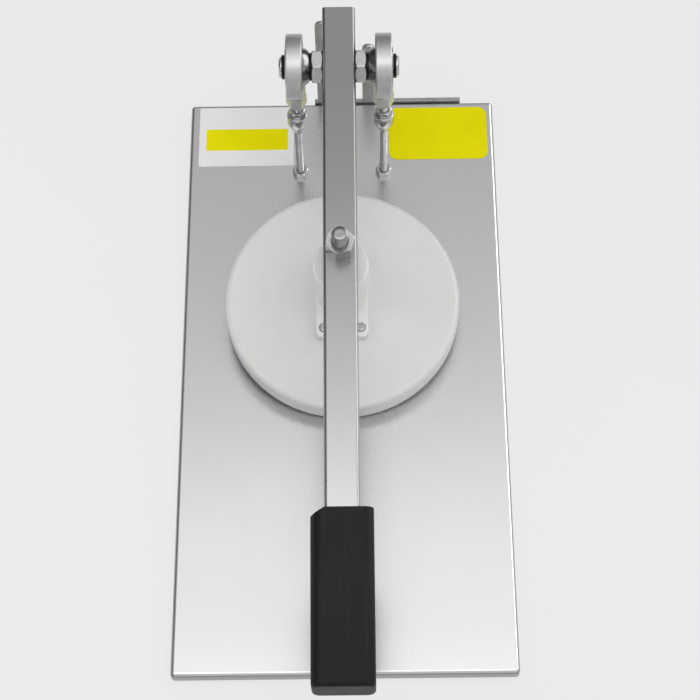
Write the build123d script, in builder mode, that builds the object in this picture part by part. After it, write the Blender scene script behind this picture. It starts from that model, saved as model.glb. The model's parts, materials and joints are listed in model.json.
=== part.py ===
from build123d import *
import math
import os

# Manual lever press for flattening dough balls: a folded sheet base, two
# threaded posts carrying rod-end bearings, and a square-tube lever with a
# round press plate hung from it.
# Millimetres, +Z up, +X to the right, -Y towards the hand grip.
# The origin is on the table, at the middle of the whole press's footprint.

os.makedirs("parts", exist_ok=True)

# ---------------------------------------------------------------- dimensions
BASE_W = 250.0            # folded base, across
BASE_D = 500.0            # folded base, front to back
SHEET = 1.5               # base sheet thickness
BEND_R = 3.0              # outer radius of the folded edge
CORNER_R = 3.2            # corner radius in plan
FLANGE_H = 8.0            # outside height of the folded rim
FOOT_DROP = 5.0           # feet stand this far below the rim

PIVOT_BACK = 69.0         # pivot axis in front of the rear face of the base
PIVOT_H = 142.0           # pivot axis above the work surface
POST_X = 33.7             # post centre line from the centre plane

TUBE = 25.0               # square lever tube, outside
TUBE_WALL = 2.0
TUBE_R = 2.8
TAIL = 44.0               # lever behind the pivot
TUBE_FRONT = 467.0        # lever tube in front of the pivot
PRESS_S = 154.5           # press stud in front of the pivot, along the lever

GRIP_START = 349.5
GRIP_END = 473.5
GRIP_W = 44.0
GRIP_H = 36.0
GRIP_R = 7.0
GRIP_END_R = 3.0

DISC_R = 90.0             # press plate radius
DISC_T = 20.0
DISC_DROP = 106.0         # pressing face below the lever axis
DISC_EDGE = 2.0
DISC_TOP_EDGE = 4.5       # softer edge round the upper face
DISC_GAP = 0.5            # front edge of the plate above the work surface

ROD_R = 3.0               # M6 threaded post
THREAD_GAP = 0.05         # radial running fit of the posts in the base nuts
M6_AF, M6_H = 10.0, 5.2
COLLAR_R = 8.0
COLLAR_LOW, COLLAR_TAPER, COLLAR_TOP = 60.0, 72.0, 82.0
SHANK_LOW, SHANK_HEX_TOP = 97.0, 108.0
SHANK_AF = 14.0
NECK_R = 7.5

RING_R = 24.8             # rod-end eye
RING_W = 12.5
RACE_R = 19.0
RACE_W = 12.0
BALL_R = 16.0
BALL_IN = 11.0            # inner face of the ball, from the eye's centre
BALL_OUT = 7.0            # outer face, trimmed close to the eye
BALL_GAP = 0.05

AXLE_R = 8.0              # M16 pivot axle
AXLE_HALF = 45.4
CLIP_R, CLIP_W = 9.2, 2.6  # retaining rings at the axle ends
M16_AF, M16_THIN = 24.0, 8.0

STUD_R = 6.0              # M12 press stud
M12_AF, M12_H, M12_THIN = 19.0, 14.0, 6.0
STUD_TOP = 38.5           # top of the stud above the lever axis

HUB_TOP_R = 20.7
HUB_LOW_R = 18.5
FOOT_W = 39.4
FOOT_L = 68.0
FOOT_T = 8.0
HUB_SCREW_X = 14.0
HUB_SCREW_Y = 26.5

BRACKET_T = 3.0
STRIP_UP = 2.4            # bracket strip above the work surface

# ------------------------------------------------------------ derived places
# Lever angle below level at which the press plate's front edge meets the work
# surface, found by a short fixed-point iteration.
TILT = math.radians(8.0)
for _ in range(60):
    TILT = math.asin(
        (PIVOT_H - DISC_GAP - DISC_DROP * math.cos(TILT)) / (PRESS_S + DISC_R)
    )

PLATE_TOP = FOOT_DROP + FLANGE_H
RIM_LOW = FOOT_DROP
FRONT_REACH = (
    (GRIP_END - GRIP_END_R) * math.cos(TILT)
    + (GRIP_H / 2 - GRIP_END_R) * math.sin(TILT)
    + GRIP_END_R
)
SCREW_HEAD_H = 2.0
REAR_Y = (PIVOT_BACK + FRONT_REACH - BRACKET_T - SCREW_HEAD_H) / 2
BASE_Y = REAR_Y - BASE_D / 2
PIVOT_Y = REAR_Y - PIVOT_BACK
PIVOT_Z = PLATE_TOP + PIVOT_H

# Lever frame: x across, y up the slope towards the tail, z out of the lever.
LEVER = Plane(
    origin=(0, PIVOT_Y, PIVOT_Z),
    x_dir=(1, 0, 0),
    z_dir=(0, -math.sin(TILT), math.cos(TILT)),
)
FORWARD = (0, -math.cos(TILT), -math.sin(TILT))


def lever_point(x, s, h):
    """Point on the lever: x across, s forward of the pivot, h above its axis."""
    return LEVER.from_local_coords((x, -s, h))


def lever_section(s):
    """Plane square to the lever at s, facing the hand grip."""
    return Plane(origin=lever_point(0, s, 0), x_dir=(1, 0, 0), z_dir=FORWARD)


def across(x):
    """Plane square to the pivot axis at x, facing +X."""
    return Plane(origin=(x, PIVOT_Y, PIVOT_Z), x_dir=LEVER.y_dir, z_dir=(1, 0, 0))


def upright(plane):
    """Plane that holds the given plane's x and z directions."""
    return Plane(origin=plane.origin, x_dir=plane.x_dir, z_dir=-plane.y_dir)


def hex_nut(plane, flats, height, bore_r):
    """Hexagon nut standing on the plane, with both faces chamfered."""
    corner = flats / math.sqrt(3)
    land = flats / 2 * 0.96
    drop = (corner - land) * math.tan(math.radians(30))
    with BuildPart() as nut:
        with BuildSketch(plane):
            RegularPolygon(flats / 2, 6, major_radius=False)
        extrude(amount=height)
        with BuildSketch(upright(plane)):
            with BuildLine():
                Polyline(
                    (0, 0), (land, 0), (corner, drop),
                    (corner, height - drop), (land, height), (0, height),
                    close=True,
                )
            make_face()
        revolve(axis=Axis(plane.origin, plane.z_dir), mode=Mode.INTERSECT)
        with BuildSketch(plane):
            Circle(bore_r)
        extrude(amount=height, mode=Mode.SUBTRACT)
    return nut.part


def pan_screw(plane, head_r, head_h, shank_r, length):
    """Pan-head screw: head above the plane, shank below it, cross recess."""
    with BuildPart() as screw:
        with BuildSketch(plane):
            Circle(head_r)
        extrude(amount=head_h)
        fillet(screw.edges().group_by(lambda e: (e.center() - plane.origin).dot(plane.z_dir))[-1], head_h * 0.45)
        with BuildSketch(plane):
            Circle(shank_r)
        extrude(amount=-length)
        with BuildSketch(plane.offset(head_h)):
            Rectangle(head_r * 1.05, head_r * 0.26)
            Rectangle(head_r * 0.26, head_r * 1.05)
        extrude(amount=-head_h * 0.6, mode=Mode.SUBTRACT)
    return screw.part


# --------------------------------------------------------------------- base
BRACKET_SCREWS = (-2.0, 46.0, 90.0)
BRACKET_SCREW_Z = RIM_LOW + 3.1
REAR_FACE = Plane(origin=(0, REAR_Y, 0), x_dir=(-1, 0, 0), z_dir=(0, 1, 0))

with BuildPart() as base_plate:
    with BuildSketch(Plane.XY.offset(RIM_LOW)):
        with Locations((0, BASE_Y)):
            RectangleRounded(BASE_W, BASE_D, CORNER_R)
    extrude(amount=FLANGE_H)
    fillet(base_plate.faces().sort_by(Axis.Z)[-1].edges(), BEND_R)
    with BuildSketch(Plane.XY.offset(RIM_LOW)):
        with Locations((0, BASE_Y)):
            RectangleRounded(BASE_W - 2 * SHEET, BASE_D - 2 * SHEET, CORNER_R - SHEET)
    extrude(amount=FLANGE_H - SHEET, mode=Mode.SUBTRACT)
    with BuildSketch(Plane.XY.offset(PLATE_TOP)):
        with Locations((-POST_X, PIVOT_Y), (POST_X, PIVOT_Y)):
            Circle(ROD_R + 0.3)
    extrude(amount=-SHEET, mode=Mode.SUBTRACT)
    with BuildSketch(REAR_FACE):
        with Locations(*[(-x, BRACKET_SCREW_Z) for x in BRACKET_SCREWS]):
            Circle(1.6)
    extrude(amount=-SHEET, mode=Mode.SUBTRACT)
base_plate.part.label = "base_plate"

# Steel strip under the sheet that spreads the pull of the two posts.
BACK_T = 3.0
BACK_TOP = PLATE_TOP - SHEET
with BuildPart() as backing_plate:
    with BuildSketch(Plane.XY.offset(BACK_TOP)):
        with Locations((0, PIVOT_Y)):
            RectangleRounded(110, 40, 4)
        with Locations((-POST_X, PIVOT_Y), (POST_X, PIVOT_Y)):
            Circle(ROD_R + 0.3, mode=Mode.SUBTRACT)
    extrude(amount=-BACK_T)
backing_plate.part.label = "backing_plate"

with BuildPart() as rubber_feet:
    with BuildSketch(Plane.XY.offset(BACK_TOP)):
        with Locations((0, BASE_Y)):
            with GridLocations(204, 452, 2, 2):
                Circle(12)
    extrude(amount=-BACK_TOP, taper=6)
    fillet(rubber_feet.edges().group_by(Axis.Z)[0], 1.2)
rubber_feet.part.label = "rubber_feet"

WASHER_T = 1.2
with BuildPart() as post_washers:
    with BuildSketch(Plane.XY.offset(BACK_TOP - BACK_T)):
        with Locations((-POST_X, PIVOT_Y), (POST_X, PIVOT_Y)):
            Circle(6.0)
            Circle(ROD_R + 0.2, mode=Mode.SUBTRACT)
    extrude(amount=-WASHER_T)
post_washers.part.label = "post_washers"

NUT_LOW = BACK_TOP - BACK_T - WASHER_T - M6_H
upper_left = hex_nut(Plane((-POST_X, PIVOT_Y, PLATE_TOP)), M6_AF + 1.0, M6_H, ROD_R + THREAD_GAP)
upper_right = hex_nut(Plane((POST_X, PIVOT_Y, PLATE_TOP)), M6_AF + 1.0, M6_H, ROD_R + THREAD_GAP)
with BuildPart() as post_base_nuts:
    add(upper_left)
    add(upper_right)
post_base_nuts.part.label = "post_base_nuts"

under_left = hex_nut(Plane((-POST_X, PIVOT_Y, NUT_LOW)), M6_AF, M6_H, ROD_R + THREAD_GAP)
under_right = hex_nut(Plane((POST_X, PIVOT_Y, NUT_LOW)), M6_AF, M6_H, ROD_R + THREAD_GAP)
with BuildPart() as post_under_nuts:
    add(under_left)
    add(under_right)
post_under_nuts.part.label = "post_under_nuts"

# Blank adhesive plates on the rear of the work surface.
LABEL_T = 0.3
with BuildPart() as white_plaque:
    with BuildSketch(Plane.XY.offset(PLATE_TOP)):
        with Locations((-78.6, REAR_Y - 32.6)):
            RectangleRounded(78.0, 58.4, 1.0)
    extrude(amount=LABEL_T)
white_plaque.part.label = "white_plaque"

with BuildPart() as plaque_stripe:
    with BuildSketch(Plane.XY.offset(PLATE_TOP + LABEL_T)):
        with Locations((-78.1, REAR_Y - 35.8)):
            RectangleRounded(67.2, 21.0, 0.8)
    extrude(amount=0.15)
plaque_stripe.part.label = "plaque_stripe"

with BuildPart() as yellow_plaque:
    with BuildSketch(Plane.XY.offset(PLATE_TOP)):
        with Locations((79.0, REAR_Y - 31.4)):
            RectangleRounded(81.0, 51.6, 7.5)
    extrude(amount=LABEL_T)
yellow_plaque.part.label = "yellow_plaque"

# Flat bracket behind the rear rim, with two round-topped uprights.
with BuildPart() as rear_bracket:
    with BuildSketch(REAR_FACE):
        with Locations((-38.0, (RIM_LOW + 0.5 + PLATE_TOP + STRIP_UP) / 2)):
            Rectangle(120.5, PLATE_TOP + STRIP_UP - RIM_LOW - 0.5)
        with Locations((14.8, (PLATE_TOP + 106.0) / 2)):
            Rectangle(10.0, PLATE_TOP + 106.0 - 10)
        with Locations((14.8, PLATE_TOP + 101.0)):
            Circle(5.0)
        with Locations((-22.4, (PLATE_TOP + 76.0) / 2)):
            Rectangle(10.2, PLATE_TOP + 76.0 - 10)
        with Locations((-22.4, PLATE_TOP + 76.0 - 5)):
            Circle(5.1)
        with Locations(*[(-x, BRACKET_SCREW_Z) for x in BRACKET_SCREWS]):
            Circle(1.6, mode=Mode.SUBTRACT)
    extrude(amount=BRACKET_T)
rear_bracket.part.label = "rear_bracket"

bracket_screw_list = [
    pan_screw(
        Plane(origin=(x, REAR_Y + BRACKET_T, BRACKET_SCREW_Z), x_dir=(-1, 0, 0), z_dir=(0, 1, 0)),
        2.5, SCREW_HEAD_H, 1.5, BRACKET_T + SHEET + 3.4,
    )
    for x in BRACKET_SCREWS
]
with BuildPart() as bracket_screws:
    for one in bracket_screw_list:
        add(one)
bracket_screws.part.label = "bracket_screws"

bracket_nut_list = [
    hex_nut(
        Plane(origin=(x, REAR_Y - SHEET - 2.4, BRACKET_SCREW_Z), x_dir=(0, 0, 1), z_dir=(0, 1, 0)),
        5.5, 2.4, 1.52,
    )
    for x in BRACKET_SCREWS
]
with BuildPart() as bracket_nuts:
    for one in bracket_nut_list:
        add(one)
bracket_nuts.part.label = "bracket_nuts"

# -------------------------------------------------------------------- posts
ROD_LOW = PLATE_TOP - 11.6
ROD_TOP = PLATE_TOP + 112.0
with BuildPart() as post_rods:
    with BuildSketch(Plane.XY.offset(ROD_LOW)):
        with Locations((-POST_X, PIVOT_Y), (POST_X, PIVOT_Y)):
            Circle(ROD_R)
    extrude(amount=ROD_TOP - ROD_LOW)
    chamfer(post_rods.edges().group_by(Axis.Z)[0], 0.7)
post_rods.part.label = "post_rods"


def post_collar(x):
    """Turned collar on the post, tapering to the rod at its lower end."""
    face = Plane(origin=(x, PIVOT_Y, PLATE_TOP), x_dir=(1, 0, 0), z_dir=(0, -1, 0))
    with BuildPart() as collar:
        with BuildSketch(face):
            with BuildLine():
                Polyline(
                    (ROD_R, COLLAR_LOW), (ROD_R + 0.8, COLLAR_LOW),
                    (COLLAR_R, COLLAR_TAPER), (COLLAR_R, COLLAR_TOP - 0.8),
                    (COLLAR_R - 0.8, COLLAR_TOP), (ROD_R, COLLAR_TOP),
                    close=True,
                )
            make_face()
        revolve(axis=Axis((x, PIVOT_Y, 0), (0, 0, 1)))
    return collar.part


collar_left = post_collar(-POST_X)
collar_right = post_collar(POST_X)
with BuildPart() as post_collars:
    add(collar_left)
    add(collar_right)
post_collars.part.label = "post_collars"

jam_left = hex_nut(Plane((-POST_X, PIVOT_Y, PLATE_TOP + COLLAR_TOP)), M6_AF + 1.0, M6_H, ROD_R)
jam_right = hex_nut(Plane((POST_X, PIVOT_Y, PLATE_TOP + COLLAR_TOP)), M6_AF + 1.0, M6_H, ROD_R)
with BuildPart() as post_jam_nuts:
    add(jam_left)
    add(jam_right)
post_jam_nuts.part.label = "post_jam_nuts"


def rod_end(x):
    """Rod-end housing: flat eye, round neck and hexagonal threaded shank."""
    with BuildPart() as housing:
        with BuildSketch(across(x)):
            Circle(RING_R)
        extrude(amount=RING_W / 2, both=True)
        fillet(housing.edges().filter_by(GeomType.CIRCLE), 1.2)
        with BuildSketch(Plane((x, PIVOT_Y, PLATE_TOP + SHANK_HEX_TOP))):
            Circle(NECK_R)
        extrude(amount=PIVOT_H - SHANK_HEX_TOP - RACE_R - 1.5)
        with BuildSketch(Plane((x, PIVOT_Y, PLATE_TOP + SHANK_LOW))):
            RegularPolygon(SHANK_AF / 2, 6, major_radius=False)
        extrude(amount=SHANK_HEX_TOP - SHANK_LOW)
        with BuildSketch(across(x)):
            Circle(RACE_R)
        extrude(amount=RING_W, both=True, mode=Mode.SUBTRACT)
        with BuildSketch(Plane((x, PIVOT_Y, PLATE_TOP + SHANK_LOW))):
            Circle(ROD_R)
        extrude(amount=ROD_TOP - PLATE_TOP - SHANK_LOW, mode=Mode.SUBTRACT)
    return housing.part


with BuildPart() as left_rod_end:
    add(rod_end(-POST_X))
left_rod_end.part.label = "left_rod_end"

with BuildPart() as right_rod_end:
    add(rod_end(POST_X))
right_rod_end.part.label = "right_rod_end"


def bearing_race(x):
    """Race pressed into the eye, bored to the ball's sphere."""
    bore = BALL_R + BALL_GAP
    mouth = math.sqrt(bore**2 - (RACE_W / 2) ** 2)
    with BuildPart() as race:
        with BuildSketch(Plane(origin=(x, PIVOT_Y, PIVOT_Z), x_dir=(1, 0, 0), z_dir=(0, -1, 0))):
            with BuildLine():
                Polyline(
                    (RACE_W / 2, mouth), (RACE_W / 2, RACE_R),
                    (-RACE_W / 2, RACE_R), (-RACE_W / 2, mouth),
                )
                ThreePointArc((-RACE_W / 2, mouth), (0, bore), (RACE_W / 2, mouth))
            make_face()
        revolve(axis=Axis((x, PIVOT_Y, PIVOT_Z), (1, 0, 0)))
    return race.part


race_left = bearing_race(-POST_X)
race_right = bearing_race(POST_X)
with BuildPart() as bearing_races:
    add(race_left)
    add(race_right)
bearing_races.part.label = "bearing_races"

# -------------------------------------------------------------------- lever
with BuildPart() as lever_tube:
    with BuildSketch(lever_section(-TAIL)):
        RectangleRounded(TUBE, TUBE, TUBE_R)
        RectangleRounded(TUBE - 2 * TUBE_WALL, TUBE - 2 * TUBE_WALL, 0.8, mode=Mode.SUBTRACT)
    extrude(amount=TAIL + TUBE_FRONT)
    with BuildSketch(across(0)):
        Circle(AXLE_R)
    extrude(amount=TUBE, both=True, mode=Mode.SUBTRACT)
    with BuildSketch(LEVER):
        with Locations((0, -PRESS_S)):
            Circle(STUD_R)
    extrude(amount=TUBE, both=True, mode=Mode.SUBTRACT)
lever_tube.part.label = "lever_tube"

# Moulded grip over the end of the tube, with a closed front end and one
# trimmed rear corner.
with BuildPart() as grip:
    with BuildSketch(lever_section(GRIP_START)):
        RectangleRounded(GRIP_W, GRIP_H, GRIP_R)
    extrude(amount=GRIP_END - GRIP_START)
    with BuildSketch(LEVER.offset(-GRIP_H)):
        with BuildLine():
            Polyline(
                (-GRIP_W / 2 - 1, -GRIP_START + 1),
                (-GRIP_W / 2 - 1, -GRIP_START - 6.6),
                (-GRIP_W / 2 + 11.5, -GRIP_START + 1),
                close=True,
            )
        make_face()
    extrude(amount=2 * GRIP_H, mode=Mode.SUBTRACT)
    fillet(
        grip.edges().group_by(lambda e: (e.center() - Vector(*lever_point(0, 0, 0))).dot(Vector(*FORWARD)))[-1],
        GRIP_END_R,
    )
    with BuildSketch(lever_section(GRIP_START)):
        RectangleRounded(TUBE, TUBE, TUBE_R)
    extrude(amount=TUBE_FRONT - GRIP_START, mode=Mode.SUBTRACT)
grip.part.label = "grip"

with BuildPart() as pivot_axle:
    with BuildSketch(across(0)):
        Circle(AXLE_R)
    extrude(amount=AXLE_HALF, both=True)
    chamfer(pivot_axle.edges().group_by(Axis.X)[0] + pivot_axle.edges().group_by(Axis.X)[-1], 1.2)
pivot_axle.part.label = "pivot_axle"


def hex_across(x):
    """Plane at x facing +X, turned so that a nut lies flat upwards and points a corner forwards."""
    return Plane(origin=(x, PIVOT_Y, PIVOT_Z), x_dir=LEVER.y_dir, z_dir=(1, 0, 0))


lock_left = hex_nut(hex_across(-TUBE / 2 - M16_THIN), M16_AF, M16_THIN, AXLE_R)
lock_right = hex_nut(hex_across(TUBE / 2), M16_AF, M16_THIN, AXLE_R)
with BuildPart() as axle_lock_nuts:
    add(lock_left)
    add(lock_right)
axle_lock_nuts.part.label = "axle_lock_nuts"

SPACER_IN = TUBE / 2 + M16_THIN
SPACER_OUT = POST_X - BALL_IN
with BuildPart() as axle_spacers:
    for side in (-1, 1):
        with BuildSketch(across(side * (SPACER_IN + SPACER_OUT) / 2)):
            Circle(10.5)
            Circle(AXLE_R, mode=Mode.SUBTRACT)
        extrude(amount=(SPACER_OUT - SPACER_IN) / 2, both=True)
axle_spacers.part.label = "axle_spacers"

# Black rings that hold the balls on the axle, outside the eyes.
CLIP_IN = POST_X + BALL_OUT
with BuildPart() as axle_retaining_rings:
    for side in (-1, 1):
        with BuildSketch(across(side * (CLIP_IN + CLIP_W / 2))):
            Circle(CLIP_R)
            Circle(AXLE_R, mode=Mode.SUBTRACT)
        extrude(amount=CLIP_W / 2, both=True)
axle_retaining_rings.part.label = "axle_retaining_rings"


def bearing_ball(x):
    """Truncated ball of the rod end, bored for the axle."""
    left, right = (BALL_OUT, BALL_IN) if x < 0 else (BALL_IN, BALL_OUT)
    left_r = math.sqrt(BALL_R**2 - left**2)
    right_r = math.sqrt(BALL_R**2 - right**2)
    with BuildPart() as ball:
        with BuildSketch(Plane(origin=(x, PIVOT_Y, PIVOT_Z), x_dir=(1, 0, 0), z_dir=(0, -1, 0))):
            with BuildLine():
                Polyline((-left, left_r), (-left, AXLE_R), (right, AXLE_R), (right, right_r))
                ThreePointArc((right, right_r), (0, BALL_R), (-left, left_r))
            make_face()
        revolve(axis=Axis((x, PIVOT_Y, PIVOT_Z), (1, 0, 0)))
    return ball.part


ball_left = bearing_ball(-POST_X)
ball_right = bearing_ball(POST_X)
with BuildPart() as bearing_balls:
    add(ball_left)
    add(ball_right)
bearing_balls.part.label = "bearing_balls"

# ------------------------------------------------------------- press plate
DISC_TOP = -DISC_DROP + DISC_T
STUD_LOW = -44.0
HUB_TOP = -TUBE / 2 - M12_THIN


def press_plane(h, turn=0.0):
    """Plane across the press stud at h above the lever axis, turned in itself."""
    turn = math.radians(turn)
    return Plane(
        origin=lever_point(0, PRESS_S, h),
        x_dir=LEVER.x_dir * math.cos(turn) + LEVER.y_dir * math.sin(turn),
        z_dir=LEVER.z_dir,
    )


with BuildPart() as press_stud:
    with BuildSketch(press_plane(STUD_LOW)):
        Circle(STUD_R)
    extrude(amount=STUD_TOP - STUD_LOW)
    chamfer(
        press_stud.edges().group_by(lambda e: (e.center() - Vector(*lever_point(0, 0, 0))).dot(LEVER.z_dir))[-1],
        1.9,
    )
press_stud.part.label = "press_stud"

with BuildPart() as press_stud_nut:
    add(hex_nut(press_plane(TUBE / 2, 14), M12_AF, M12_H, STUD_R))
press_stud_nut.part.label = "press_stud_nut"

with BuildPart() as press_stud_jam_nut:
    add(hex_nut(press_plane(-TUBE / 2 - M12_THIN, 4), M12_AF, M12_THIN, STUD_R))
press_stud_jam_nut.part.label = "press_stud_jam_nut"

SCREW_SEAT = 2.4
with BuildPart() as press_hub:
    with BuildSketch(press_plane(DISC_TOP)):
        RectangleRounded(FOOT_W, FOOT_L, 4)
    extrude(amount=FOOT_T)
    fillet(
        press_hub.edges().group_by(lambda e: (e.center() - Vector(*lever_point(0, 0, 0))).dot(LEVER.z_dir))[-1],
        0.6,
    )
    with BuildSketch(upright(press_plane(DISC_TOP))):
        with BuildLine():
            Polyline(
                (0, 0.5), (HUB_LOW_R, 0.5), (HUB_TOP_R, HUB_TOP - DISC_TOP - 1.2),
                (HUB_TOP_R - 1.2, HUB_TOP - DISC_TOP), (0, HUB_TOP - DISC_TOP),
                close=True,
            )
        make_face()
    revolve(axis=Axis(lever_point(0, PRESS_S, 0), LEVER.z_dir))
    with BuildSketch(press_plane(HUB_TOP)):
        Circle(STUD_R)
    extrude(amount=STUD_LOW - HUB_TOP, mode=Mode.SUBTRACT)
    with BuildSketch(press_plane(DISC_TOP)):
        with GridLocations(2 * HUB_SCREW_X, 2 * HUB_SCREW_Y, 2, 2):
            Circle(2.0)
    extrude(amount=FOOT_T, mode=Mode.SUBTRACT)
    with BuildSketch(press_plane(DISC_TOP + FOOT_T)):
        with GridLocations(2 * HUB_SCREW_X, 2 * HUB_SCREW_Y, 2, 2):
            Circle(3.9)
    extrude(amount=-SCREW_SEAT, mode=Mode.SUBTRACT)
press_hub.part.label = "press_hub"

hub_screw_list = [
    pan_screw(
        Plane(
            origin=lever_point(sx * HUB_SCREW_X, PRESS_S + sy * HUB_SCREW_Y, DISC_TOP + FOOT_T - SCREW_SEAT),
            x_dir=(1, 0, 0),
            z_dir=LEVER.z_dir,
        ),
        3.2, 2.1, 2.0, FOOT_T - SCREW_SEAT + 10.0,
    )
    for sx in (-1, 1)
    for sy in (-1, 1)
]
with BuildPart() as hub_screws:
    for one in hub_screw_list:
        add(one)
hub_screws.part.label = "hub_screws"

with BuildPart() as press_plate:
    with BuildSketch(press_plane(-DISC_DROP)):
        Circle(DISC_R)
    extrude(amount=DISC_T)
    rims = press_plate.edges().filter_by(GeomType.CIRCLE).group_by(
        lambda e: (e.center() - Vector(*lever_point(0, 0, 0))).dot(LEVER.z_dir))
    fillet(rims[0], DISC_EDGE)
    fillet(
        press_plate.edges().filter_by(GeomType.CIRCLE).group_by(
            lambda e: (e.center() - Vector(*lever_point(0, 0, 0))).dot(LEVER.z_dir))[-1],
        DISC_TOP_EDGE,
    )
    with BuildSketch(press_plane(DISC_TOP)):
        with GridLocations(2 * HUB_SCREW_X, 2 * HUB_SCREW_Y, 2, 2):
            Circle(2.0)
    extrude(amount=-10.0, mode=Mode.SUBTRACT)
press_plate.part.label = "press_plate"

# ------------------------------------------------------------------- export
PIECES = [
    base_plate, backing_plate, rubber_feet, post_washers, post_base_nuts,
    post_under_nuts, white_plaque, plaque_stripe, yellow_plaque, rear_bracket,
    bracket_screws, bracket_nuts, post_rods, post_collars, post_jam_nuts,
    left_rod_end, right_rod_end, bearing_races, lever_tube, grip, pivot_axle,
    axle_lock_nuts, axle_spacers, axle_retaining_rings, bearing_balls, press_stud, press_stud_nut,
    press_stud_jam_nut, press_hub, hub_screws, press_plate,
]
for piece in PIECES:
    export_step(piece.part, "parts/" + piece.part.label + ".step")

print("tilt_deg", round(math.degrees(TILT), 4))
print("rear_y", round(REAR_Y, 4), "base_y", round(BASE_Y, 4))
print("pivot", round(PIVOT_Y, 4), round(PIVOT_Z, 4), "plate_top", PLATE_TOP)
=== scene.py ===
import json
import math
import random

import bmesh
import bpy
from mathutils import Matrix, Vector


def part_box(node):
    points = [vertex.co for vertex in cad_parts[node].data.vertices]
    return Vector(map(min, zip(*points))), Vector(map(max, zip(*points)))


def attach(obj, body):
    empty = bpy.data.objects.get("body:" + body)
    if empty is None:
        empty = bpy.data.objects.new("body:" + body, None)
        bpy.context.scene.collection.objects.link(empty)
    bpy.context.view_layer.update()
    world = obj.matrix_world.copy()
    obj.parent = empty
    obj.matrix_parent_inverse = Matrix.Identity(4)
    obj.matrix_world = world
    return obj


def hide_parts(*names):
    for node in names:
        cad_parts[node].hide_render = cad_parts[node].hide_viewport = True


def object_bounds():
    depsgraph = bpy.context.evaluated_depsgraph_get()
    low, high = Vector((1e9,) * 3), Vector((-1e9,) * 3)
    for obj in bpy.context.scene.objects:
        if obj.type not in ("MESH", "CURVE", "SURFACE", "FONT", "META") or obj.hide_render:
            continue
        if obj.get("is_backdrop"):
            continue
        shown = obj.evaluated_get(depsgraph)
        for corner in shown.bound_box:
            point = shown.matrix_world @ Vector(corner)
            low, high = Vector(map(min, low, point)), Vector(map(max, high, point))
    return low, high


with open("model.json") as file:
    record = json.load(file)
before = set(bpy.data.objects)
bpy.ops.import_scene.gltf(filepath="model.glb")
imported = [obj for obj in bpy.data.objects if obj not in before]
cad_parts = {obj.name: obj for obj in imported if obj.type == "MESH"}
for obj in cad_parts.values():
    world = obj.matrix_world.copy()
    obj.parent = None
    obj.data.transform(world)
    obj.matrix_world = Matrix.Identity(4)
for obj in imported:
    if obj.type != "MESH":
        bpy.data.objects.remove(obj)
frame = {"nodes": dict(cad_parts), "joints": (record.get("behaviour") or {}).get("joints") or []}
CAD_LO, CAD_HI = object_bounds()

# Looks of a manual lever dough press: brushed stainless folded base, square
# stainless lever with a moulded grip, turned white plastic press plate, zinc
# plated threaded posts and polished rod ends.  Metres, row frame.

random.seed(7)
NODES = frame["nodes"]
JOINTS = {j["name"]: j for j in frame["joints"]}
PIVOT = Vector(JOINTS["lever_hinge"]["pos_m"])
MM = 0.001

# Lever frame, found from the tube itself: its long axis; the origin is the hinge joint.
_t = [v.co for v in NODES["lever_tube"].data.vertices]
_lo, _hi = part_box("press_stud")
_front = min(_t, key=lambda c: c.y)
_rear = max(_t, key=lambda c: c.y)


def _tube_tilt():
    """Slope of the lever from the top edges of its tube."""
    top_front = max((c for c in _t if c.y < _front.y + 0.03), key=lambda c: c.z)
    top_rear = max(_t, key=lambda c: c.z)
    return math.atan2(top_rear.z - top_front.z, top_rear.y - top_front.y)


TILT = _tube_tilt()
LX = Vector((1, 0, 0))
LY = Vector((0, math.cos(TILT), math.sin(TILT)))
LZ = Vector((0, -math.sin(TILT), math.cos(TILT)))
LEVER = Matrix.Translation(PIVOT) @ Matrix((LX, LY, LZ)).transposed().to_4x4()
PLATE_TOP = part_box("base_plate")[1].z
BASE_LO, BASE_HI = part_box("base_plate")


def lever_at(x, s, h):
    """Matrix of the lever frame moved to x across, s forward and h up (metres)."""
    return LEVER @ Matrix.Translation((x, -s, h))


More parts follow.
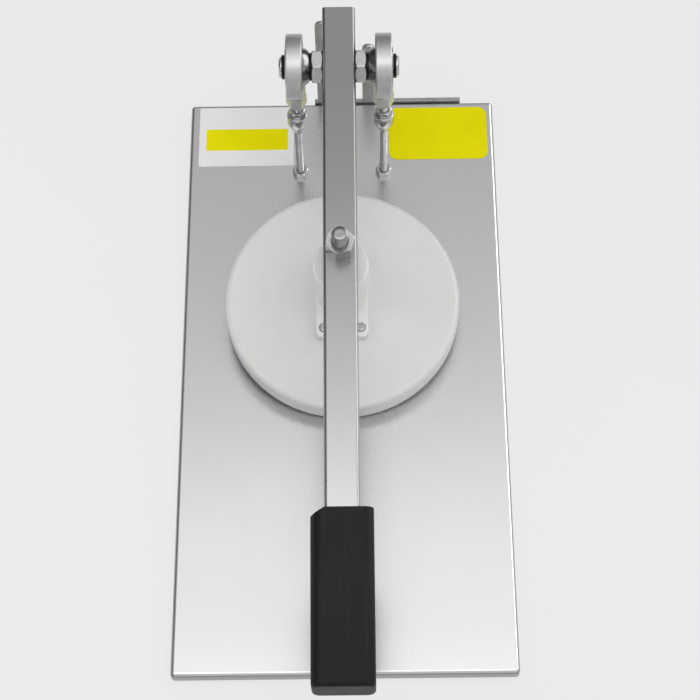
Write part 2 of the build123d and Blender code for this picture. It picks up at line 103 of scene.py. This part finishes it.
# ------------------------------------------------------------------- nodes
class Mat:
    """Small helper that builds one procedural material."""

    def __init__(self, name):
        self.m = bpy.data.materials.new(name)
        self.m.use_nodes = True
        self.t = self.m.node_tree
        self.t.nodes.clear()
        self.out = self.t.nodes.new("ShaderNodeOutputMaterial")
        self.b = self.t.nodes.new("ShaderNodeBsdfPrincipled")
        self.t.links.new(self.b.outputs[0], self.out.inputs[0])
        tc = self.t.nodes.new("ShaderNodeTexCoord")
        self.co = tc.outputs["Object"]

    def set(self, **kw):
        for k, v in kw.items():
            self.b.inputs[k.replace("_", " ")].default_value = v
        return self

    def put(self, src, key):
        self.t.links.new(src, self.b.inputs[key])

    def _in(self, node, key, val):
        if val is None:
            return
        if isinstance(val, bpy.types.NodeSocket):
            self.t.links.new(val, node.inputs[key])
        else:
            node.inputs[key].default_value = val

    def mapping(self, scale=(1, 1, 1), loc=(0, 0, 0), rot=(0, 0, 0), vec=None):
        n = self.t.nodes.new("ShaderNodeMapping")
        self._in(n, "Vector", vec or self.co)
        n.inputs["Location"].default_value = loc
        n.inputs["Rotation"].default_value = rot
        n.inputs["Scale"].default_value = scale
        return n.outputs[0]

    def noise(self, vec=None, scale=10.0, detail=3.0, rough=0.5, dist=0.0):
        n = self.t.nodes.new("ShaderNodeTexNoise")
        self._in(n, "Vector", vec or self.co)
        n.inputs["Scale"].default_value = scale
        n.inputs["Detail"].default_value = detail
        n.inputs["Roughness"].default_value = rough
        n.inputs["Distortion"].default_value = dist
        return n.outputs[0]

    def voronoi(self, vec=None, scale=10.0, feature="F1", rnd=1.0):
        n = self.t.nodes.new("ShaderNodeTexVoronoi")
        n.feature = feature
        self._in(n, "Vector", vec or self.co)
        n.inputs["Scale"].default_value = scale
        n.inputs["Randomness"].default_value = rnd
        return n.outputs["Distance"]

    def ramp(self, fac, stops):
        n = self.t.nodes.new("ShaderNodeValToRGB")
        self._in(n, "Fac", fac)
        e = n.color_ramp.elements
        while len(e) > 1:
            e.remove(e[-1])
        e[0].position = stops[0][0]
        e[0].color = self._c(stops[0][1])
        for p, c in stops[1:]:
            x = e.new(p)
            x.color = self._c(c)
        return n.outputs[0]

    @staticmethod
    def _c(c):
        if isinstance(c, (int, float)):
            return (c, c, c, 1)
        return (*c, 1) if len(c) == 3 else c

    def math(self, op, a, b=None, c=None, clamp=False):
        n = self.t.nodes.new("ShaderNodeMath")
        n.operation = op
        n.use_clamp = clamp
        self._in(n, 0, a)
        self._in(n, 1, b)
        self._in(n, 2, c)
        return n.outputs[0]

    def mix(self, fac, a, b, mode="MIX"):
        n = self.t.nodes.new("ShaderNodeMix")
        n.data_type = "RGBA"
        n.blend_type = mode
        self._in(n, 0, fac)
        self._in(n, 6, self._c(a) if not isinstance(a, bpy.types.NodeSocket) else a)
        self._in(n, 7, self._c(b) if not isinstance(b, bpy.types.NodeSocket) else b)
        return n.outputs[2]

    def rng(self, v, a, b, c, d):
        n = self.t.nodes.new("ShaderNodeMapRange")
        self._in(n, 0, v)
        for i, x in enumerate((a, b, c, d)):
            n.inputs[1 + i].default_value = x
        return n.outputs[0]

    def bump(self, h, strength=0.2, dist=0.0002, normal=None):
        n = self.t.nodes.new("ShaderNodeBump")
        n.inputs["Strength"].default_value = strength
        n.inputs["Distance"].default_value = dist
        self._in(n, "Height", h)
        self._in(n, "Normal", normal)
        return n.outputs[0]

    def sep(self, vec):
        n = self.t.nodes.new("ShaderNodeSeparateXYZ")
        self._in(n, 0, vec)
        return n.outputs

    def vlen(self, vec):
        n = self.t.nodes.new("ShaderNodeVectorMath")
        n.operation = "LENGTH"
        self._in(n, 0, vec)
        return n.outputs["Value"]

    def edge(self, radius=0.0006, gain=2.2):
        """1 near sharp edges, 0 on flats."""
        bv = self.t.nodes.new("ShaderNodeBevel")
        bv.samples = 4
        bv.inputs["Radius"].default_value = radius
        g = self.t.nodes.new("ShaderNodeNewGeometry")
        d = self.t.nodes.new("ShaderNodeVectorMath")
        d.operation = "DOT_PRODUCT"
        self._in(d, 0, bv.outputs[0])
        self._in(d, 1, g.outputs["Normal"])
        inv = self.math("SUBTRACT", 1.0, d.outputs["Value"])
        return self.math("MULTIPLY", inv, gain * 3, clamp=True)


def brushed(name, lo, hi, rough, rot=(0, 0, 0), grain=0.5, along=6.0, across=1500.0,
            smudge=0.06, edge=None, painted_light_run=None, painted_rim_shade=None):
    """Brushed stainless: fine grain along Y, soft cloudy variation, smudges; optional painted lighting gradient
    along Y, painted rim shade and painted edge highlights.
    """
    m = Mat(name)
    p = m.mapping(rot=rot)
    fine = m.noise(m.mapping((across, along, across), vec=p), 1.0, 2.0, 0.6)
    fine2 = m.noise(m.mapping((across * 0.31, along * 2.1, across * 0.31), vec=p), 1.0, 3.0, 0.6)
    g = m.math("MULTIPLY_ADD", fine, 0.6, m.math("MULTIPLY", fine2, 0.4))
    cloud = m.noise(p, 7.0, 4.0, 0.55, 0.4)
    wipe = m.noise(m.mapping((26, 9, 26), vec=p), 1.0, 5.0, 0.6, 0.8)
    scr = m.noise(m.mapping((60, 2400, 60), rot=(0, 0, 0.35), vec=p), 1.0, 2.0, 0.5, 0.3)
    scratch = m.rng(scr, 0.70, 0.78, 0.0, 1.0)
    v = m.math("MULTIPLY_ADD", m.math("SUBTRACT", g, 0.5), grain * 0.35, 0.5)
    v = m.math("MULTIPLY_ADD", m.math("SUBTRACT", cloud, 0.5), 0.35, v)
    col = m.ramp(v, [(0.25, lo), (0.75, hi)])
    col = m.mix(m.math("MULTIPLY", scratch, 0.025), col, (0.93, 0.93, 0.92))
    if painted_light_run:
        # painted light: colour scaled by the given stops along Y, a painted lighting gradient, brighter towards the
        # front and duller towards the pivot
        run = m.math("MULTIPLY_ADD", m.math("SUBTRACT", cloud, 0.5), 0.03, m.sep(m.co)[1])
        col = m.mix(1.0, col, m.ramp(m.rng(run, -0.2, 0.3, 0.0, 1.0),
                                     [((y + 0.2) / 0.5, f) for y, f in painted_light_run]), "MULTIPLY")
    if painted_rim_shade:
        # painted shade: faces turned away from up (the folded rims) get a darker colour
        g2 = m.t.nodes.new("ShaderNodeNewGeometry")
        up = m.math("ABSOLUTE", m.sep(g2.outputs["Normal"])[2])
        col = m.mix(m.rng(up, 0.55, 0.93, 1.0, 0.0), col, painted_rim_shade)
    # painted highlight: colour lightened towards a pale grey near sharp edges
    if edge:
        col = m.mix(m.math("MULTIPLY", m.edge(edge), 0.12), col, (0.9, 0.9, 0.89))
    m.put(col, "Base Color")
    r = m.math("MULTIPLY_ADD", m.math("SUBTRACT", wipe, 0.5), smudge * 2.4, rough)
    r = m.math("MULTIPLY_ADD", m.math("SUBTRACT", g, 0.5), 0.05, r)
    m.put(r, "Roughness")
    m.put(m.bump(m.math("MULTIPLY_ADD", scratch, -0.06, g), 0.10 * grain * 2, 0.00006), "Normal")
    m.set(Metallic=1.0)
    return m.m


def plated(name, lo, hi, rough, grain=900.0, bump=0.06, edge=0.0005, tint=(0.95, 0.95, 0.9)):
    """Plated or polished steel: small grain, cloudy tone, painted edge highlights."""
    m = Mat(name)
    n1 = m.noise(None, grain, 3.0, 0.55)
    n2 = m.noise(None, 55.0, 4.0, 0.6, 0.5)
    n3 = m.noise(m.mapping((1, 1, 0.25)), 320.0, 2.0, 0.5)
    v = m.math("MULTIPLY_ADD", m.math("SUBTRACT", n1, 0.5), 0.35, n2)
    col = m.ramp(v, [(0.28, lo), (0.72, hi)])
    col = m.mix(m.math("MULTIPLY", m.rng(n3, 0.55, 0.7, 0, 1), 0.12), col, tint)
    # painted highlight: colour lightened near sharp edges
    col = m.mix(m.math("MULTIPLY", m.edge(edge), 0.45), col, (0.96, 0.96, 0.95))
    m.put(col, "Base Color")
    m.put(m.math("MULTIPLY_ADD", m.math("SUBTRACT", n2, 0.5), 0.22, rough), "Roughness")
    m.put(m.bump(n1, bump, 0.0001), "Normal")
    m.set(Metallic=1.0)
    return m.m


def plastic(name, lo, hi, rough, scale=160.0, bump=0.12, edge_wear_and_highlight=None, rings=None,
            metallic=0.0, coat=0.0, sheen=0.0, sub=0.0, spec=0.5, dist=0.0002, edge_r=0.0009, streak=None):
    m = Mat(name)
    n1 = m.noise(None, scale, 4.0, 0.6)
    n2 = m.noise(None, 16.0, 4.0, 0.6, 0.4)
    n3 = m.noise(None, 1900.0, 2.0, 0.5)
    v = m.math("MULTIPLY_ADD", m.math("SUBTRACT", n1, 0.5), 0.45, n2)
    col = m.ramp(v, [(0.25, lo), (0.75, hi)])
    h = m.math("MULTIPLY_ADD", n3, 0.35, n1)
    if streak is not None:
        st = m.noise(m.mapping((420, 14, 420), vec=m.mapping(rot=streak)), 1.0, 3.0, 0.6)
        col = m.mix(m.math("MULTIPLY", m.rng(st, 0.5, 0.75, 0, 1), 0.35), col,
                    tuple(min(1.0, c * 1.9) for c in hi))
    if rings is not None:
        # turned face: fine concentric tool marks round the given axis
        loc, rot = rings
        p = m.mapping(rot=rot, vec=m.mapping(loc=loc))
        s = m.sep(p)
        rad = m.math("SQRT", m.math("ADD", m.math("MULTIPLY", s[0], s[0]),
                                    m.math("MULTIPLY", s[1], s[1])))
        wob = m.math("MULTIPLY_ADD", m.noise(None, 30, 2, 0.5), 0.0004, rad)
        tool = m.noise(m.mapping((1, 1, 1), vec=m._comb(wob)), 1500.0, 3.0, 0.6)
        h = m.math("MULTIPLY_ADD", tool, 0.9, h)
        col = m.mix(m.math("MULTIPLY", m.rng(tool, 0.45, 0.8, 0, 1), 0.10), col,
                    tuple(c * 0.9 for c in lo))
    # lighter colour near sharp edges: worn edges on the grip, a painted highlight on the disc and hub
    if edge_wear_and_highlight is not None:
        col = m.mix(m.math("MULTIPLY", m.edge(edge_r), 0.5), col, edge_wear_and_highlight)
    m.put(col, "Base Color")
    m.put(m.math("MULTIPLY_ADD", m.math("SUBTRACT", n2, 0.5), 0.18, rough), "Roughness")
    m.put(m.bump(h, bump, dist), "Normal")
    m.set(Metallic=metallic)
    m.b.inputs["Specular IOR Level"].default_value = spec
    m.b.inputs["Coat Weight"].default_value = coat
    m.b.inputs["Coat Roughness"].default_value = 0.12
    m.b.inputs["Sheen Weight"].default_value = sheen
    m.b.inputs["Sheen Roughness"].default_value = 0.4
    m.b.inputs["Subsurface Weight"].default_value = sub
    m.b.inputs["Subsurface Scale"].default_value = 0.003
    return m.m


def _comb(self, x):
    n = self.t.nodes.new("ShaderNodeCombineXYZ")
    self._in(n, 0, x)
    return n.outputs[0]


Mat._comb = _comb
LEAN = (-TILT, 0, 0)
_stud = LEVER.inverted() @ ((_lo + _hi) / 2)
DISC_AXIS = LEVER @ Vector((0, _stud.y, 0))

MATS = {
    # base: painted lighting gradient along Y and painted shade on the folded rims
    "base": brushed("satin_stainless", (0.69, 0.69, 0.69), (0.745, 0.745, 0.743), 0.27, grain=0.09,
                    smudge=0.04, painted_rim_shade=(0.36, 0.36, 0.36), painted_light_run=[(-0.2, 0.945), (-0.13, 0.995), (0.3, 1.0)]),
    "under": brushed("mill_stainless", (0.42, 0.42, 0.42), (0.55, 0.55, 0.54), 0.42, grain=0.4),
    # lever: painted lighting gradient along Y and painted edge highlights
    "lever": brushed("lever_stainless", (0.375, 0.375, 0.375), (0.43, 0.43, 0.43), 0.27, rot=LEAN,
                     grain=0.09, smudge=0.04, edge=0.0010,
                     painted_light_run=[(-0.15, 1.0), (-0.07, 0.99), (-0.03, 0.93), (0.012, 0.83), (0.09, 0.67),
                             (0.13, 0.645), (0.20, 0.68), (0.24, 0.74)]),
    "bright": plated("zinc_plated", (0.46, 0.46, 0.465), (0.60, 0.60, 0.60), 0.24),
    "stud_nut": plated("stud_nut_steel", (0.36, 0.36, 0.365), (0.46, 0.46, 0.46), 0.24, edge=0.0008),
    "stud": plated("stud_steel", (0.25, 0.25, 0.255), (0.36, 0.36, 0.36), 0.28),
    "ring": plated("polished_steel", (0.50, 0.50, 0.50), (0.62, 0.62, 0.615), 0.42, 700.0, 0.10),
    "ball": plated("ground_ball", (0.16, 0.16, 0.165), (0.30, 0.30, 0.30), 0.16, 1200.0, 0.03),
    "grey": plated("dull_strip", (0.40, 0.40, 0.395), (0.52, 0.52, 0.51), 0.42, 400.0, 0.12),
    "black": plated("black_oxide", (0.010, 0.010, 0.010), (0.03, 0.03, 0.03), 0.38, 800.0, 0.1,
                    tint=(0.05, 0.05, 0.05)),
    "bronze": plated("race_bronze", (0.42, 0.28, 0.13), (0.60, 0.42, 0.22), 0.34, 600.0, 0.1),
    # disc and hub: painted edge highlights
    "disc": plastic("turned_plastic", (0.715, 0.72, 0.705), (0.755, 0.76, 0.75), 0.36, 120.0, 0.06,
                    edge_wear_and_highlight=(0.82, 0.83, 0.82), rings=((0, -DISC_AXIS.y, -DISC_AXIS.z), LEAN), sub=0.05),
    "hub": plastic("moulded_white", (0.78, 0.78, 0.77), (0.86, 0.86, 0.855), 0.38, 140.0, 0.08,
                   edge_wear_and_highlight=(0.86, 0.86, 0.85), sub=0.05),
    "grip": plastic("grip_black", (0.007, 0.007, 0.007), (0.013, 0.013, 0.013), 0.50, 520.0, 0.20,
                    edge_wear_and_highlight=(0.034, 0.034, 0.034), streak=LEAN, edge_r=0.0016, spec=0.16),
    "rubber": plastic("foot_rubber", (0.018, 0.018, 0.018), (0.035, 0.035, 0.034), 0.62, 300.0, 0.3),
    "white": plastic("white_film", (0.87, 0.87, 0.865), (0.93, 0.93, 0.925), 0.42, 60.0, 0.05, coat=0.08, spec=0.3),
    "yellow": plastic("yellow_film", (0.85, 0.775, 0.0), (0.93, 0.85, 0.002), 0.45, 60.0, 0.05, spec=0.06),
}

LOOK = {
    "base_plate": "base", "backing_plate": "under", "rubber_feet": "rubber", "post_washers": "bright",
    "post_base_nuts": "bright", "post_under_nuts": "bright", "white_plaque": "white",
    "plaque_stripe": "yellow", "yellow_plaque": "yellow", "rear_bracket": "grey",
    "bracket_screws": "bright", "bracket_nuts": "bright", "post_rods": "bright",
    "post_collars": "bright", "post_jam_nuts": "bright", "left_rod_end": "ring",
    "right_rod_end": "ring", "bearing_races": "bronze", "lever_tube": "lever", "grip": "grip",
    "pivot_axle": "bright", "axle_lock_nuts": "bright", "axle_spacers": "black",
    "bearing_balls": "ball", "press_stud": "bright", "press_stud_nut": "bright",
    "press_stud_jam_nut": "bright", "press_hub": "hub", "hub_screws": "bright",
    "press_plate": "disc", "axle_retaining_rings": "black",
}

for n, o in NODES.items():
    o.data.materials.clear()
    o.data.materials.append(MATS[LOOK[n]])


# ---------------------------------------------------------------- modifiers
def soften(name, width, segs=2, angle=32):
    """Welds the node's split corners and puts a small real bevel on its edges."""
    o = NODES[name]
    w = o.modifiers.new("weld", "WELD")
    w.merge_threshold = 2e-6
    b = o.modifiers.new("bevel", "BEVEL")
    b.width = width
    b.segments = segs
    b.limit_method = "ANGLE"
    b.angle_limit = math.radians(angle)
    b.use_clamp_overlap = True
    b.harden_normals = True
    b.miter_outer = "MITER_ARC"


def piece(name, bm, look, body, node, matrix=None, smooth=30):
    me = bpy.data.meshes.new(name)
    bm.normal_update()
    bm.to_mesh(me)
    bm.free()
    o = bpy.data.objects.new(name, me)
    bpy.context.scene.collection.objects.link(o)
    if matrix is not None:
        me.transform(matrix)
    for p in me.polygons:
        p.use_smooth = True
    me.set_sharp_from_angle(angle=math.radians(smooth))
    me.materials.append(MATS[look])
    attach(o, body)
    if node:
        for n in ([node] if isinstance(node, str) else node):
            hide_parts(n)
    return o


def lathe(bm, profile, seg, matrix=Matrix.Identity(4), wave=None):
    """Closed solid of revolution about local Z from (r, z) points; r 0 ends close."""
    rings = []
    for r, z in profile:
        if r <= 1e-9:
            rings.append([bm.verts.new(matrix @ Vector((0, 0, z)))])
        else:
            rings.append([
                bm.verts.new(matrix @ Vector((r * math.cos(2 * math.pi * i / seg),
                                              r * math.sin(2 * math.pi * i / seg), z)))
                for i in range(seg)
            ])
    for a, b in zip(rings, rings[1:]):
        for i in range(seg):
            j = (i + 1) % seg
            if len(a) == 1 and len(b) == 1:
                continue
            if len(a) == 1:
                bm.faces.new((a[0], b[j], b[i]))
            elif len(b) == 1:
                bm.faces.new((a[i], a[j], b[0]))
            else:
                bm.faces.new((a[i], a[j], b[j], b[i]))


def thread(bm, r, pitch, z0, z1, seg, cham, matrix, plain=(), fine=6, dimple=0.0):
    """External thread as one closed surface, chamfered at both ends."""
    depth = pitch * 0.56
    rows = int(math.ceil((z1 - z0) / (pitch / fine)))
    rings = []
    for k in range(rows + 1):
        z = z0 + (z1 - z0) * k / rows
        ring = []
        for i in range(seg):
            ph = (z / pitch - i / seg) % 1.0
            tri = abs(2 * ph - 1)
            d = min(1.0, max(0.0, (tri - 0.14) / 0.70))
            rr = r - depth * (1 - d)
            for a, b in plain:
                if a <= z <= b:
                    rr = r
            rr = min(rr, r - cham + (z - z0), r - cham + (z1 - z))
            t = 2 * math.pi * i / seg
            ring.append(bm.verts.new(matrix @ Vector((rr * math.cos(t), rr * math.sin(t), z))))
        rings.append(ring)
    for a, b in zip(rings, rings[1:]):
        for i in range(seg):
            j = (i + 1) % seg
            bm.faces.new((a[i], a[j], b[j], b[i]))
    for ring, z, up in ((rings[0], z0, False), (rings[-1], z1, True)):
        inner = [bm.verts.new(matrix @ Vector((0.35 * r * math.cos(2 * math.pi * i / seg),
                                               0.35 * r * math.sin(2 * math.pi * i / seg), z)))
                 for i in range(seg)]
        c = bm.verts.new(matrix @ Vector((0, 0, z - (dimple if up else -dimple))))
        for i in range(seg):
            j = (i + 1) % seg
            if up:
                bm.faces.new((ring[i], ring[j], inner[j], inner[i]))
                bm.faces.new((inner[i], inner[j], c))
            else:
                bm.faces.new((ring[j], ring[i], inner[i], inner[j]))
                bm.faces.new((inner[j], inner[i], c))


# threaded posts
lo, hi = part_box("post_rods")
rod_r = (hi.y - lo.y) / 2
rod_y = (lo.y + hi.y) / 2
rod_x = hi.x - rod_r
for side, tag in ((-1, "left"), (1, "right")):
    bm = bmesh.new()
    thread(bm, rod_r, 1.0 * MM, lo.z, hi.z, 28, 0.7 * MM,
           Matrix.Translation((side * rod_x, rod_y, 0)) @ Matrix.Rotation(side * 0.8, 4, "Z"))
    rod = piece("post_rod_" + tag, bm, "bright", "posts", "post_rods", smooth=60)

# press stud with a proper thread and chamfered end
stud_mid = LEVER.inverted() @ ((_lo + _hi) / 2)
stud_low, stud_top, stud_r = -44.0 * MM, 38.5 * MM, 6.0 * MM
bm = bmesh.new()
thread(bm, stud_r, 1.75 * MM, stud_low, stud_top, 48, 1.2 * MM,
       LEVER @ Matrix.Translation((0, stud_mid.y, 0)), plain=((-12.4 * MM, 12.4 * MM),),
       fine=8, dimple=0.3 * MM)
stud = piece("press_stud_thread", bm, "stud", "lever", "press_stud", smooth=60)

# pivot axle: threaded where the nuts sit, plain in the balls
ax_lo, ax_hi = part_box("pivot_axle")
AX = Matrix.Translation(PIVOT) @ Matrix.Rotation(math.pi / 2, 4, "Y")
bm = bmesh.new()
half = ax_hi.x
thread(bm, 8.0 * MM, 1.5 * MM, -half, half, 56, 1.2 * MM, AX,
       plain=((-half, -22.0 * MM), (-12.4 * MM, 12.4 * MM), (22.0 * MM, half)), fine=6, dimple=0.5 * MM)
axle = piece("pivot_axle_turned", bm, "bright", "lever", "pivot_axle", smooth=60)



def hexnut(bm, matrix, af, height, bore, turn, land_k=0.985):
    """Hexagon nut on local z 0, chamfered both ways, with countersunk bore."""
    rc = af * 0.035
    land = af / 2 * land_k
    t30 = math.tan(math.radians(30))
    pts = []
    for k in range(6):
        a = turn + math.pi / 3 * k
        cx, cy = ((af / 2 - rc) / math.cos(math.pi / 6) * f(a) for f in (math.cos, math.sin))
        arc = [(cx + rc * math.cos(a + d), cy + rc * math.sin(a + d))
               for d in (math.radians(x) for x in (-30, -15, 0, 15, 30))]
        pts += arc
        b = a + math.pi / 3
        nx, ny = ((af / 2 - rc) / math.cos(math.pi / 6) * f(b) for f in (math.cos, math.sin))
        q = (nx + rc * math.cos(b - math.pi / 6), ny + rc * math.sin(b - math.pi / 6))
        for i in range(1, 6):
            u = i / 6
            pts.append((arc[-1][0] * (1 - u) + q[0] * u, arc[-1][1] * (1 - u) + q[1] * u))
    csk = 0.06 * bore + 0.0002
    rings = [[] for _ in range(8)]
    for x, y in pts:
        r = math.hypot(x, y)
        ux, uy = x / r, y / r
        zs = max(0.00002, (r - land) * t30)
        rl = min(land, r - 0.00003)
        for ring, (rr, z) in zip(rings, (
                (rl, 0), (r, zs), (r, height - zs), (rl, height),
                (bore + csk, height), (bore, height - csk), (bore, csk), (bore + csk, 0))):
            ring.append(bm.verts.new(matrix @ Vector((rr * ux, rr * uy, z))))
    n = len(pts)
    for a, b in zip(rings, rings[1:] + rings[:1]):
        for i in range(n):
            j = (i + 1) % n
            bm.faces.new((a[i], a[j], b[j], b[i]))


def hex_turn(node, matrix, centre, reach):
    """Angle of a corner of the CAD nut in the given frame."""
    inv = matrix.inverted()
    best = max((inv @ v.co for v in NODES[node].data.vertices if (v.co - centre).length < reach),
               key=lambda c: math.hypot(c.x, c.y))
    return math.atan2(best.y, best.x)


def nuts(name, node, body, places, af, height, bore, bevel, look="bright", land_k=0.985):
    bm = bmesh.new()
    for mx in places:
        centre = mx @ Vector((0, 0, height / 2))
        hexnut(bm, mx, af, height, bore, hex_turn(node, mx, centre, af * 0.8), land_k)
    o = piece(name, bm, look, body, node, smooth=20)
    b = o.modifiers.new("bevel", "BEVEL")
    b.width = bevel
    b.segments = 2
    b.limit_method = "ANGLE"
    b.angle_limit = math.radians(20)
    b.harden_normals = True
    return o


def at(x, y, z):
    return Matrix.Translation((x, y, z))


def z_low(node):
    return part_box(node)[0].z


posts_xy = [(-rod_x, rod_y), (rod_x, rod_y)]
for name, node, body, af in (("base_nuts", "post_base_nuts", "base", 11.0),
                             ("under_nuts", "post_under_nuts", "base", 10.0),
                             ("jam_nuts", "post_jam_nuts", "posts", 11.0)):
    nuts(name, node, body, [at(x, y, z_low(node)) for x, y in posts_xy], af * MM, 5.2 * MM,
         3.06 * MM, 0.16 * MM)
tube_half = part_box("lever_tube")[1].x
nuts("lock_nuts", "axle_lock_nuts", "lever",
     [Matrix.Translation(PIVOT + Vector((x, 0, 0))) @ Matrix.Rotation(math.pi / 2, 4, "Y")
      for x in (-tube_half - 8 * MM, tube_half)], 24 * MM, 8 * MM, 8.02 * MM, 0.3 * MM)
nuts("stud_nut", "press_stud_nut", "lever",
     [LEVER @ at(0, stud_mid.y, 12.5 * MM)], 19 * MM, 14 * MM, 6.02 * MM, 0.35 * MM,
     "stud_nut", 1.09)
nuts("stud_jam_nut", "press_stud_jam_nut", "lever",
     [LEVER @ at(0, stud_mid.y, -18.5 * MM)], 19 * MM, 6 * MM, 6.02 * MM, 0.25 * MM)

for n, w in (("bracket_nuts", 0.15), ("axle_retaining_rings", 0.2), ("post_collars", 0.2), ("hub_screws", 0.08),
             ("bracket_screws", 0.08), ("rear_bracket", 0.35), ("axle_spacers", 0.1),
             ("post_washers", 0.15), ("backing_plate", 0.3), ("grip", 0.6), ("press_hub", 0.25),
             ("plaque_stripe", 0.04), ("white_plaque", 0.08), ("yellow_plaque", 0.08)):
    soften(n, w * MM)

# ------------------------------------------------------------------- stage
FLOOR_Z = CAD_LO.z
bm = bmesh.new()
lathe(bm, [(0, 0), (0.6, 0), (2.0, 0), (6.0, 0), (14.0, 0)], 96)
me = bpy.data.meshes.new("stage_floor")
bm.to_mesh(me)
bm.free()
floor = bpy.data.objects.new("stage_floor", me)
floor.location = (0, 0, FLOOR_Z - 0.0002)
bpy.context.scene.collection.objects.link(floor)
fm = Mat("pale_floor")
fn = fm.noise(None, 3.0, 3.0, 0.5)
fm.put(fm.ramp(fn, [(0.3, (0.13, 0.13, 0.13)), (0.7, (0.14, 0.14, 0.14))]), "Base Color")
fm.set(Roughness=0.9)
fm.b.inputs["Specular IOR Level"].default_value = 0.0
fm.b.inputs["Emission Color"].default_value = (1, 1, 1, 1)
fm.b.inputs["Emission Strength"].default_value = 0.710
me.materials.append(fm.m)
floor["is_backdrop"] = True

world = bpy.data.worlds.new("studio")
bpy.context.scene.world = world
world.use_nodes = True
wt = world.node_tree
wt.nodes.clear()
w_out = wt.nodes.new("ShaderNodeOutputWorld")
w_bg = wt.nodes.new("ShaderNodeBackground")
w_cam = wt.nodes.new("ShaderNodeBackground")
w_cam.inputs[0].default_value = (0.83, 0.83, 0.83, 1)
w_mix = wt.nodes.new("ShaderNodeMixShader")
w_lp = wt.nodes.new("ShaderNodeLightPath")
w_tc = wt.nodes.new("ShaderNodeTexCoord")
w_sep = wt.nodes.new("ShaderNodeSeparateXYZ")
wt.links.new(w_tc.outputs["Generated"], w_sep.inputs[0])


def w_ramp(src, stops):
    n = wt.nodes.new("ShaderNodeValToRGB")
    wt.links.new(src, n.inputs[0])
    e = n.color_ramp.elements
    while len(e) > 1:
        e.remove(e[-1])
    n.color_ramp.interpolation = "EASE"
    e[0].position = stops[0][0]
    e[0].color = (stops[0][1],) * 3 + (1,)
    for p, c in stops[1:]:
        x = e.new(p)
        x.color = (c, c, c, 1)
    return n.outputs[0]


def w_math(op, a, b):
    n = wt.nodes.new("ShaderNodeMath")
    n.operation = op
    n.inputs[2].default_value = 0.5
    for i, v in enumerate((a, b)):
        if isinstance(v, bpy.types.NodeSocket):
            wt.links.new(v, n.inputs[i])
        else:
            n.inputs[i].default_value = v
    return n.outputs[0]


# soft overhead dome: dark at the horizon, dimmer towards the rear
dome = w_ramp(w_sep.outputs[2], [(0.0, 0.10), (0.10, 0.16), (0.26, 0.66), (0.6, 0.74), (1.0, 0.76)])
rear = w_ramp(w_sep.outputs[1], [(0.05, 0.95), (0.34, 1.0), (0.44, 1.0), (0.52, 0.745), (0.59, 0.62), (0.75, 0.42), (1.0, 0.32)])
side = w_ramp(w_math("MULTIPLY_ADD", w_sep.outputs[0], 0.5), [(0.0, 0.2), (0.24, 0.3), (0.40, 1.0), (1.0, 1.0)])
wt.links.new(w_math("MULTIPLY", w_math("MULTIPLY", dome, rear), side), w_bg.inputs[0])
w_bg.inputs[1].default_value = 1.08
wt.links.new(w_lp.outputs["Is Camera Ray"], w_mix.inputs[0])
wt.links.new(w_bg.outputs[0], w_mix.inputs[1])
wt.links.new(w_cam.outputs[0], w_mix.inputs[2])
wt.links.new(w_mix.outputs[0], w_out.inputs[0])


def softbox(name, at, to, size, radiance):
    l = bpy.data.lights.new(name, "AREA")
    l.shape = "RECTANGLE"
    l.size, l.size_y = size
    l.energy = radiance * size[0] * size[1] * math.pi
    o = bpy.data.objects.new(name, l)
    bpy.context.scene.collection.objects.link(o)
    o.location = at
    o.rotation_mode = "QUATERNION"
    o.rotation_quaternion = (Vector(to) - Vector(at)).to_track_quat("-Z", "Y")
    o.visible_camera = False
    return o


softbox("softbox_front", (0.0, -0.17, 1.0), (0.0, -0.17, 0.0), (1.2, 0.36), 1.22)
softbox("softbox_mid", (0.0, 0.04, 1.02), (0.0, 0.04, 0.0), (1.2, 0.80), 0.38)
softbox("softbox_right", (0.85, 0.50, 0.55), (0.0, 0.05, 0.1), (1.0, 0.5), 2.4).visible_diffuse = False
softbox("softbox_left", (-0.9, -0.3, 0.45), (0.0, 0.0, 0.1), (0.9, 0.35), 0.4).visible_diffuse = False
softbox("fill_left", (-0.8, -0.25, 0.85), (0.0, 0.05, 0.05), (0.9, 0.5), 1.9).visible_glossy = False
softbox("fill_right", (0.8, -0.25, 0.85), (0.0, 0.05, 0.05), (0.9, 0.5), 0.7).visible_glossy = False
softbox("softbox_low", (0.0, -1.3, 0.45), (0.0, 0.0, 0.05), (1.4, 0.4), 0.25)

bpy.context.scene.view_settings.view_transform = "Standard"
bpy.context.scene.view_settings.look = "None"

# ------------------------------------------------------------------ camera
cam_data = bpy.data.cameras.new("camera")
cam_data.sensor_width = 36.0
cam_data.lens = 103.878
cam_data.clip_start = 0.05
cam_data.clip_end = 40.0
cam = bpy.data.objects.new("camera", cam_data)
bpy.context.scene.collection.objects.link(cam)
right = Vector((0.9998891, -0.0066274, -0.0133342))
up = Vector((0.0122703, 0.8740504, 0.4856804))
back = Vector((0.0084360, -0.4857901, 0.8740348))
cam.matrix_world = Matrix.Translation((0.0185426, BASE_HI.y - 0.9968371, PLATE_TOP + 1.3705780)) @ \
    Matrix((right, up, back)).transposed().to_4x4()
bpy.context.scene.camera = cam

lo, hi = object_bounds()
